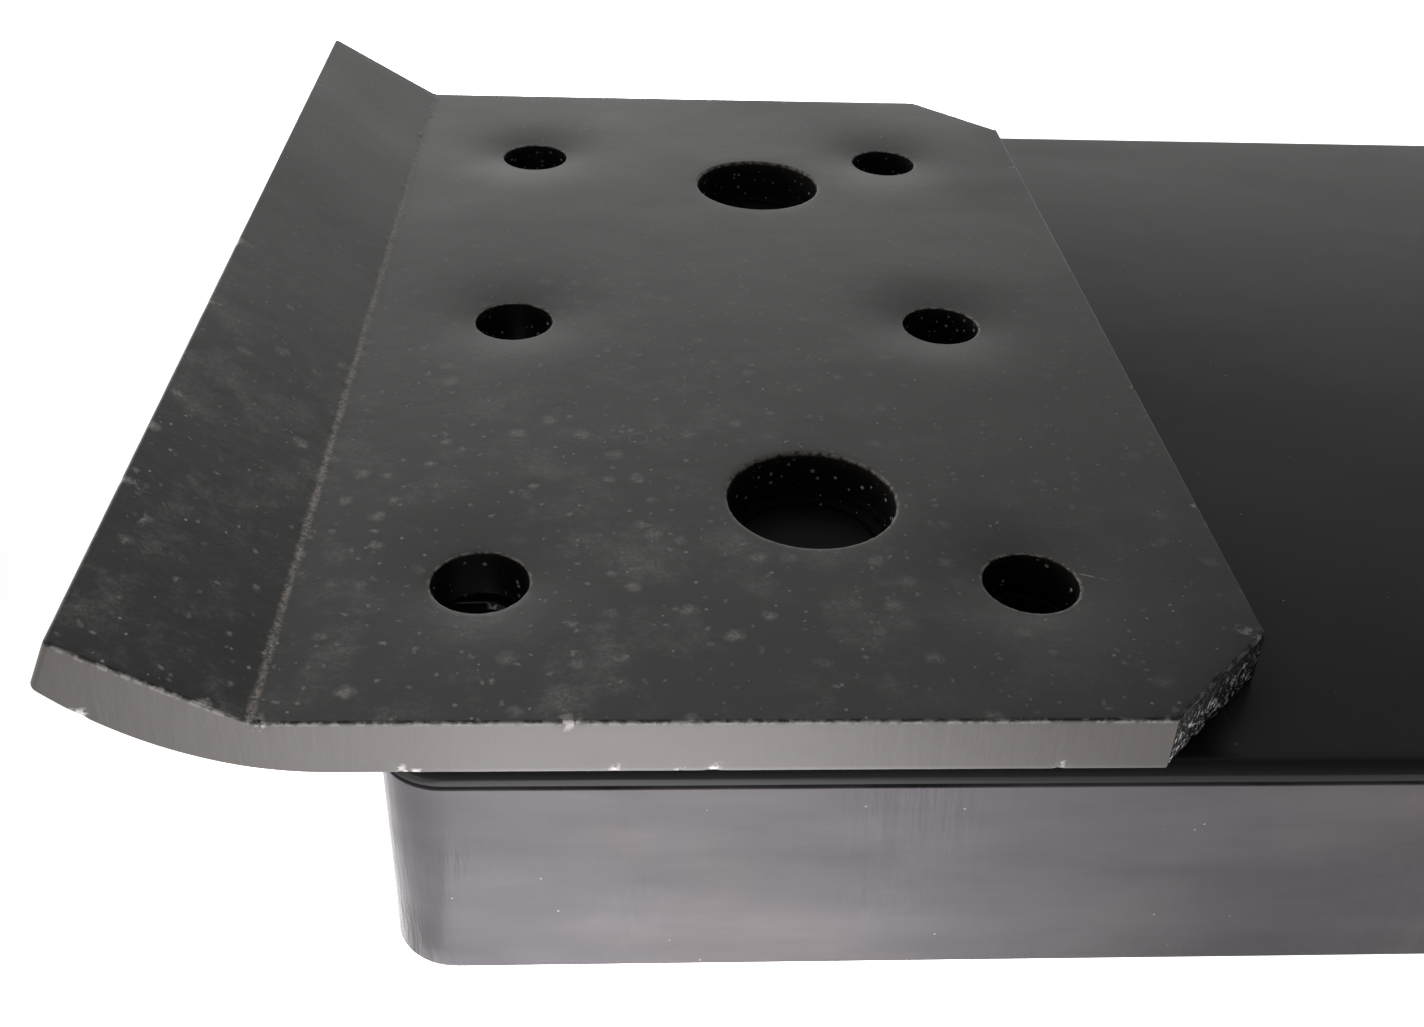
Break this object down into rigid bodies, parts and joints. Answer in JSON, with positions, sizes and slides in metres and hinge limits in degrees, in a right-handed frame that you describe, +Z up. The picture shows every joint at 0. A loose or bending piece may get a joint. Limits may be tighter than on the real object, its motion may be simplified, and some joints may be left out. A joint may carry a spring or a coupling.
{
  "type": "fifth wheel hitch",
  "caption": "Fifth wheel hitch: flat black crossbeam with lipped bolt-down end plates, uprights, four-way tilting head with V throat, and a sliding lock bar with T handle.",
  "frame": {"origin": "floor level, middle of the crossbeam", "axes": "+X to the vehicle's right along the crossbeam, +Y forward, -Y the rear where the kingpin enters, +Z up"},
  "size_m": [1.2066, 0.52, 0.345],
  "materials": {
    "plate_paint": "thick dipped black enamel, satin gloss",
    "beam_paint": "thick dipped black enamel, glossy",
    "weld_paint": "glossy black over weld bead",
    "frame_paint": "black powder coat",
    "head_paint": "black powder coat",
    "skid_paint": "black powder coat, rubbed",
    "seat_steel": "machined and greased",
    "pin_steel": "ground steel, zinc plated",
    "zinc_steel": "bright zinc plate",
    "spring_wire": "zinc plated wire",
    "bronze": "oiled bronze",
    "rubber": "matte black rubber",
    "grip_vinyl": "dipped black vinyl",
    "latch_zinc": "yellow zinc plate"
  },
  "bodies": {
    "base": {"beam_top": "beam_paint", "beam_side_front": "beam_paint", "beam_side_rear": "beam_paint", "beam_end_left": "beam_paint", "beam_end_right": "beam_paint", "beam_ribs": "beam_paint", "mount_plate_left": "plate_paint", "mount_plate_right": "plate_paint", "ring_welds_left": "weld_paint", "ring_welds_right": "weld_paint", "crush_sleeves_left": "beam_paint", "crush_sleeves_right": "beam_paint", "foot_left": "frame_paint", "foot_right": "frame_paint", "upright_left": "frame_paint", "upright_right": "frame_paint", "gussets": "frame_paint", "foot_bolts": "zinc_steel", "foot_washers": "zinc_steel", "foot_nuts": "zinc_steel", "cross_tube": "frame_paint", "cradle_plate_left": "frame_paint", "cradle_plate_right": "frame_paint", "bump_stops": "rubber", "roll_sleeve": "frame_paint", "roll_bush": "rubber"},
    "pull_pin_left": {"pull_pin_left": "pin_steel", "pull_rod_left": "pin_steel"},
    "pull_pin_right": {"pull_pin_right": "pin_steel", "pull_rod_right": "pin_steel"},
    "rocker": {"rocker_plate_front": "frame_paint", "rocker_plate_rear": "frame_paint", "rocker_ends": "frame_paint", "roll_pin": "pin_steel", "roll_nut": "zinc_steel", "pitch_pins": "pin_steel", "pitch_clips": "zinc_steel"},
    "head": {"skid_plate": "skid_paint", "web_left": "head_paint", "web_right": "head_paint", "front_web": "head_paint", "rear_webs": "head_paint", "throat_rails": "head_paint", "outer_ribs": "head_paint", "kingpin_seat": "seat_steel", "bar_guide_left": "head_paint", "bar_guide_right": "head_paint", "pitch_bushes": "bronze", "spring_stud": "pin_steel", "latch_bolt": "pin_steel", "grease_fittings": "zinc_steel", "return_spring": "spring_wire"},
    "lock": {"lock_bar": "pin_steel", "lock_rod": "pin_steel", "spring_arm": "pin_steel", "handle_bar": "pin_steel", "handle_grip": "grip_vinyl"},
    "latch": {"latch_lever": "latch_zinc"}
  },
  "joints": [
    {"name": "pull_left", "type": "slide", "parent": "base", "child": "pull_pin_left", "axis": [-1, 0, 0], "range_m": [0, 0.045]},
    {"name": "pull_right", "type": "slide", "parent": "base", "child": "pull_pin_right", "axis": [1, 0, 0], "range_m": [0, 0.045]},
    {"name": "roll", "type": "hinge", "parent": "base", "child": "rocker", "pos_m": [0, 0, 0.149], "axis": [0, 1, 0], "range_deg": [-6, 6], "stiffness_Nm_per_rad": 800},
    {"name": "pitch", "type": "hinge", "parent": "rocker", "child": "head", "pos_m": [0, 0, 0.24], "axis": [1, 0, 0], "range_deg": [-12, 12]},
    {"name": "lock_slide", "type": "slide", "parent": "head", "child": "lock", "axis": [-1, 0, 0], "range_m": [0, 0.085], "stiffness_N_per_m": 900, "springref_m": -0.03, "deforming": ["return_spring"]},
    {"name": "latch_turn", "type": "hinge", "parent": "head", "child": "latch", "pos_m": [-0.194, -0.012, 0.271], "axis": [-1, 0, 0], "range_deg": [0, 50]}
  ]
}
